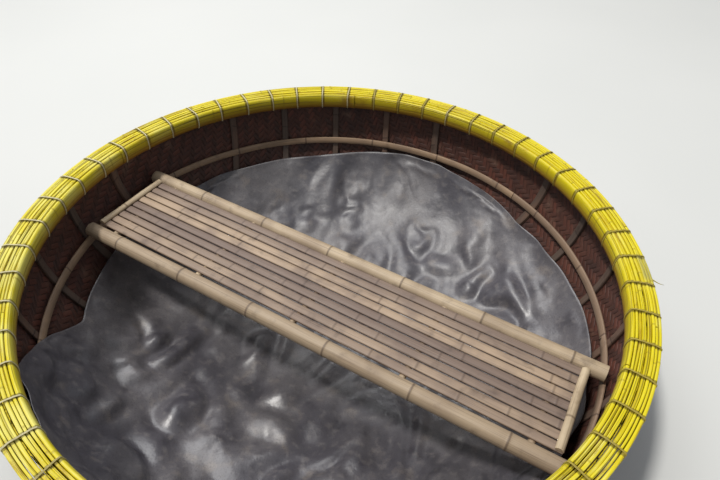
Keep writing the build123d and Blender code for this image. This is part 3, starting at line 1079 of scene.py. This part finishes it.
for number, (node, shift) in enumerate((("front_rail", 0.145), ("rear_rail", 0.225))):
    _, (near, far), (low, high) = bench_size(node)
    reach = wall_reach(node) - 0.003
    middle = crosswise * (near + far) / 2 + upward * (low + high) / 2
    first_node = (reach + shift) % pole_node_pitch
    run = straight_run(middle, lengthwise, -reach, 2 * reach, 0.02, pole_node_pitch, first_node)
    pole = bamboo_piece(
        f"{node}_bamboo", round_bar(pole_radius, pole_sides), [run], pole_finish,
        seed=61 + number, sway=0.0008, heave=0.0006, wave=0.6,
    )
    bench.append((pole, node))

# %% [markdown]
# ## The floor liner
# A thick black rubbery sheet lies loose over the ribs and comes part of the way up the wall. A
# cloth simulation lays it down: the sheet starts pressed against the bowl, with the lengths of a
# cut that is a little too large, and settles under its weight. It doesn't fold there, but shrinks
# back to the bowl. So the soft lumps of the real sheet don't come from the simulation: they are a
# smooth random pattern that is pressed into the settled shape afterwards.

# %% Cut the liner
liner_cells = 104
liner_slack = 1.085
liner_warp = 0.014
liner_thick = 0.003
# How much higher the rising stands than the ribs, and the height over which the liner climbs it
rising_step = 0.0085
rising_ramp = 0.010
# Height and width of the lumps and of the wrinkles between them, and how far and how broadly the
# pattern is pushed about
lump_height, lump_width = 0.012, 0.21
wrinkle_height, wrinkle_width = 0.0018, 0.095
push_size, push_width = 0.03, 0.3
# The lumps end at this share of the way to the liner's edge, and fade over a share before it
lump_end, lump_fade = 0.98, 0.22
# How far below the rim the liner's edge lies, in millimetres, at bearings round the boat. In
# front of the bench it goes up the wall and under the rim, over the rising.
liner_edge = {0: 285, 30: 303, 58: 258, 72: 260, 95: 300, 130: 306, 165: 322, 180: 340, 186: 341}
liner_edge |= {188: 323, 191: 287, 193: 256, 196: 221, 200: 182, 203: 144, 209: 79, 240: 77, 270: 79}
liner_edge |= {276: 144, 283: 221, 288: 287, 300: 304, 332: 270, 360: 285}


def floor_depth(distance):
    """How deep inside the bowl's outer face the tops of the ribs and the rising lie."""
    height = bowl_station(distance, 0.02)[1]
    over_rising = np.clip((height - ring_size("rising")[2] + rising_ramp) / rising_ramp, 0.0, 1.0)
    return rib_tops(distance) + rising_step * over_rising


def disc_grid(cells):
    """The points of a square grid eased into a disc of radius 1, and its faces."""
    steps = np.linspace(-1.0, 1.0, cells + 1)
    across, along = np.meshgrid(steps, steps)
    disc = np.column_stack(
        ((across * np.sqrt(1 - along**2 / 2)).ravel(), (along * np.sqrt(1 - across**2 / 2)).ravel())
    )
    corner = np.arange(cells * (cells + 1)).reshape(cells, cells + 1)[:, :-1].ravel()
    return disc, np.column_stack((corner, corner + 1, corner + cells + 2, corner + cells + 1))


def on_floor(flat, lift):
    """Flat points laid on the ribs' tops, lifted a little inwards."""
    distance, bearing = flat_polar(flat)
    return on_bowl(distance, bearing, floor_depth(distance) + lift)


def wave_field(points, seed, wavelength, count=14):
    """A smooth random field over flat points: waves in many directions, added up."""
    random = np.random.default_rng(seed)
    turns = random.uniform(0, math.tau, count)
    lengths = wavelength * random.uniform(0.7, 1.6, count)
    phases = random.uniform(0, math.tau, count)
    waves = [
        np.sin(math.tau / length * (points[:, 0] * math.cos(turn) + points[:, 1] * math.sin(turn)) + phase)
        for turn, length, phase in zip(turns, lengths, phases)
    ]
    return sum(waves) / math.sqrt(count / 2)


disc, liner_faces = disc_grid(liner_cells)
disc_radius = np.hypot(disc[:, 0], disc[:, 1])
wall_heights = bowl_station(curve_places, floor_depth(curve_places))[1]
bearings = np.degrees(np.arctan2(disc[:, 1], disc[:, 0])) % 360
edge_drops = np.interp(bearings, list(liner_edge), list(liner_edge.values()))
edge_reach = np.interp(rim_z - edge_drops / 1000, wall_heights, curve_places)
flat_liner = disc * edge_reach[:, None]
push = np.column_stack([wave_field(flat_liner, seed, push_width) for seed in (3, 4)])
pushed = flat_liner + push_size * push
lumps = lump_height * np.minimum(np.abs(wave_field(pushed, 5, lump_width)) ** 1.3, 2.0)
lumps = lumps + wrinkle_height * (1 + wave_field(pushed, 9, wrinkle_width))
lumps = lumps * np.clip((lump_end - disc_radius) / lump_fade, 0.0, 1.0)
# They are higher towards the front, which is where the photograph shows them
lumps = lumps * np.clip(0.8 - 0.5 * flat_liner[:, 1] + 0.25 * wave_field(flat_liner, 2, 0.9), 0.3, 1.15)
on_ribs = on_floor(flat_liner, 0.0)
cut_points = on_ribs * liner_slack


# %% Let the liner settle
def settle_liner(frames=36):
    """The sheet's points after it has settled on the ribs."""
    laid = on_floor(flat_liner, 0.004 + 0.008 * (1 + wave_field(flat_liner, 5, 0.22)))
    sheet = mesh_object("sheet", laid.tolist(), liner_faces.tolist())
    warp = [wave_field(flat_liner, seed, 0.34) for seed in (6, 7, 8)]
    cut = cut_points + liner_warp * np.column_stack(warp)
    sheet.shape_key_add(name="laid")
    key = sheet.shape_key_add(name="cut")
    key.data.foreach_set("co", cut.ravel())
    bed_disc, bed_faces = disc_grid(72)
    bed_points = on_floor(bed_disc * (skin_run - 0.01), 0.0)
    bed = mesh_object("bed", bed_points.tolist(), bed_faces.tolist())
    bed.modifiers.new("collision", "COLLISION")
    bed.collision.thickness_outer = 0.002
    bed.collision.cloth_friction = 12
    held = sheet.vertex_groups.new(name="held")
    held.add(np.flatnonzero(disc_radius > 0.97).tolist(), 1.0, "REPLACE")
    cloth = sheet.modifiers.new("cloth", "CLOTH")
    rubber = {"quality": 6, "mass": 0.3, "tension_stiffness": 150, "compression_stiffness": 150}
    rubber |= {"shear_stiffness": 20, "bending_stiffness": 6, "air_damping": 4}
    rubber |= {"vertex_group_mass": held.name, "rest_shape_key": key}
    for setting, value in rubber.items():
        setattr(cloth.settings, setting, value)
    cloth.collision_settings.distance_min = 0.002
    cloth.collision_settings.collision_quality = 3
    cloth.point_cache.frame_start = 1
    cloth.point_cache.frame_end = frames
    for frame_number in range(1, frames + 1):
        bpy.context.scene.frame_set(frame_number)
    settled = np.empty(len(cut) * 3)
    evaluated = sheet.evaluated_get(bpy.context.evaluated_depsgraph_get())
    evaluated.data.vertices.foreach_get("co", settled)
    bpy.data.objects.remove(sheet)
    bpy.data.objects.remove(bed)
    bpy.context.scene.frame_set(1)
    return settled.reshape(-1, 3)


def liner_rubber():
    """Black rubbery sheet under dust, with a satin sheen, brown scuffs and fine grit."""
    look = Finish("black rubber sheet")
    place = look.place()
    dust, scuff = look.noise(place, 3.2, 5.0), look.noise(place, 13.0, 4.0)
    rubs, grain = look.noise(place, 38.0, 4.0), look.noise(place, 210.0, 3.0)
    tone = look.mix(dust.between(0.36, 0.64), colour(78, 76, 83), colour(104, 101, 104))
    tone = look.coats(tone, [
        (scuff, 0.58, 0.74, 0.45, colour(134, 124, 116)),
        (1.0 - scuff, 0.54, 0.72, 0.5, colour(50, 48, 54)),
        (rubs, 0.5, 0.72, 0.3, colour(142, 136, 134)),
        (grain, 0.5, 0.7, 0.4, colour(50, 48, 52)),
    ])
    behind = look.parts(place)[1].between(-0.15, 0.45)
    roughness = scuff * 0.24 + dust * 0.12 + rubs * 0.18 + grain * 0.06 + behind * 0.13 + 0.08
    return look.finish(tone, roughness, grain * 0.14 + rubs * 0.45 + scuff * 0.7, 0.0032, 1.0)


liner_points = settle_liner() + on_floor(flat_liner, lumps) - on_ribs
moved = np.linalg.norm(liner_points - on_ribs, axis=1)
print(f"liner settled, half of it within {np.median(moved):.4f} m, all within {moved.max():.4f} m")
liner = mesh_object("floor_liner_rubber", liner_points.tolist(), liner_faces.tolist())
liner.data.materials.append(liner_rubber())
rounding = liner.modifiers.new("rounding", "SUBSURF")
rounding.levels = rounding.render_levels = 1
gauge = liner.modifiers.new("gauge", "SOLIDIFY")
gauge.thickness = liner_thick
gauge.offset = 0.0

# %% [markdown]
# ## The floor and the light
# The floor lies where the water's surface would be. It has a hole at the hull's waterline, so
# that the hull goes on below it and none of it shows inside the bowl. A soft sun from the left
# gives the shadows, a large panel lights them from behind, and only the camera sees the plain
# backdrop: the pieces see a dimmer sky.

# %% Set the stage
water_hole = radius_at(0.0, 0.002)
floor_radii = (water_hole, 1.2 * water_hole, 3.0, 40.0)
floor_sides = 128
floor_points = []
for radius in floor_radii:
    bearings = np.linspace(0.0, math.tau, floor_sides, endpoint=False)
    floor_points.extend((radius * math.cos(turn), radius * math.sin(turn), 0.0) for turn in bearings)
floor_faces = []
for ring in range(len(floor_radii) - 1):
    near, far = floor_sides * ring, floor_sides * (ring + 1)
    for side in range(floor_sides):
        after = (side + 1) % floor_sides
        floor_faces.append((near + side, far + side, far + after, near + after))
floor = mesh_object("floor", floor_points, floor_faces, smooth=False)
look = Finish("pale floor")
cloud = look.noise(look.place(), 0.8, 2.0)
tone = look.mix(cloud, colour(208, 210, 208), colour(216, 217, 215))
floor.data.materials.append(look.finish(tone, cloud * 0.05 + 0.8, cloud, 0.0001))

world = bpy.data.worlds.new("soft daylight")
world.use_nodes = True
world.node_tree.nodes.clear()
sky = Graph(world.node_tree)
lighting = sky.node("ShaderNodeBackground", {}, {"Color": colour(236, 240, 246), "Strength": 0.33})
backdrop = sky.node("ShaderNodeBackground", {}, {"Color": colour(226, 228, 228), "Strength": 1.0})
seen = sky.node("ShaderNodeLightPath", {}, {}, "Is Camera Ray")
shown = sky.node("ShaderNodeMixShader", {}, {0: seen, 1: lighting, 2: backdrop})
sky.node("ShaderNodeOutputWorld", {}, {"Surface": shown}, None)
bpy.context.scene.world = world

sun_data = bpy.data.lights.new("sun", "SUN")
sun_data.energy = 2.2
sun_data.angle = math.radians(6)
sun_data.color = (1.0, 0.97, 0.92)
sun = put_in("sun", sun_data)
sun.rotation_euler = Vector((0.40, 0.085, -0.913)).to_track_quat("-Z", "Y").to_euler()

panel_data = bpy.data.lights.new("sky panel", "AREA")
panel_data.energy = 150
panel_data.shape = "RECTANGLE"
panel_data.size, panel_data.size_y = 3.6, 3.8
panel = put_in("sky panel", panel_data)
panel.location = (-1.3, 2.7, 5.0)
panel.rotation_euler = (Vector((-0.1, -0.2, 0.0)) - panel.location).to_track_quat("-Z", "Y").to_euler()
bpy.context.scene.view_settings.view_transform = "Standard"

# %% [markdown]
# ## Joining the frame
# Each piece rides on a body, and the CAD node that it stands for is hidden. Nothing in this boat
# moves, so all of them ride on the root.

# %% Tie the pieces to the frame
for mat in (*mats, filling):
    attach(mat, "root")
    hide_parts("hull_shell")
for piece, node in rim:
    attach(piece, "root")
    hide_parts(node)
for piece, node in [*bench, (rising, "rising")]:
    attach(piece, "root")
    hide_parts(node)
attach(liner, "root")
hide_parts("floor_liner")
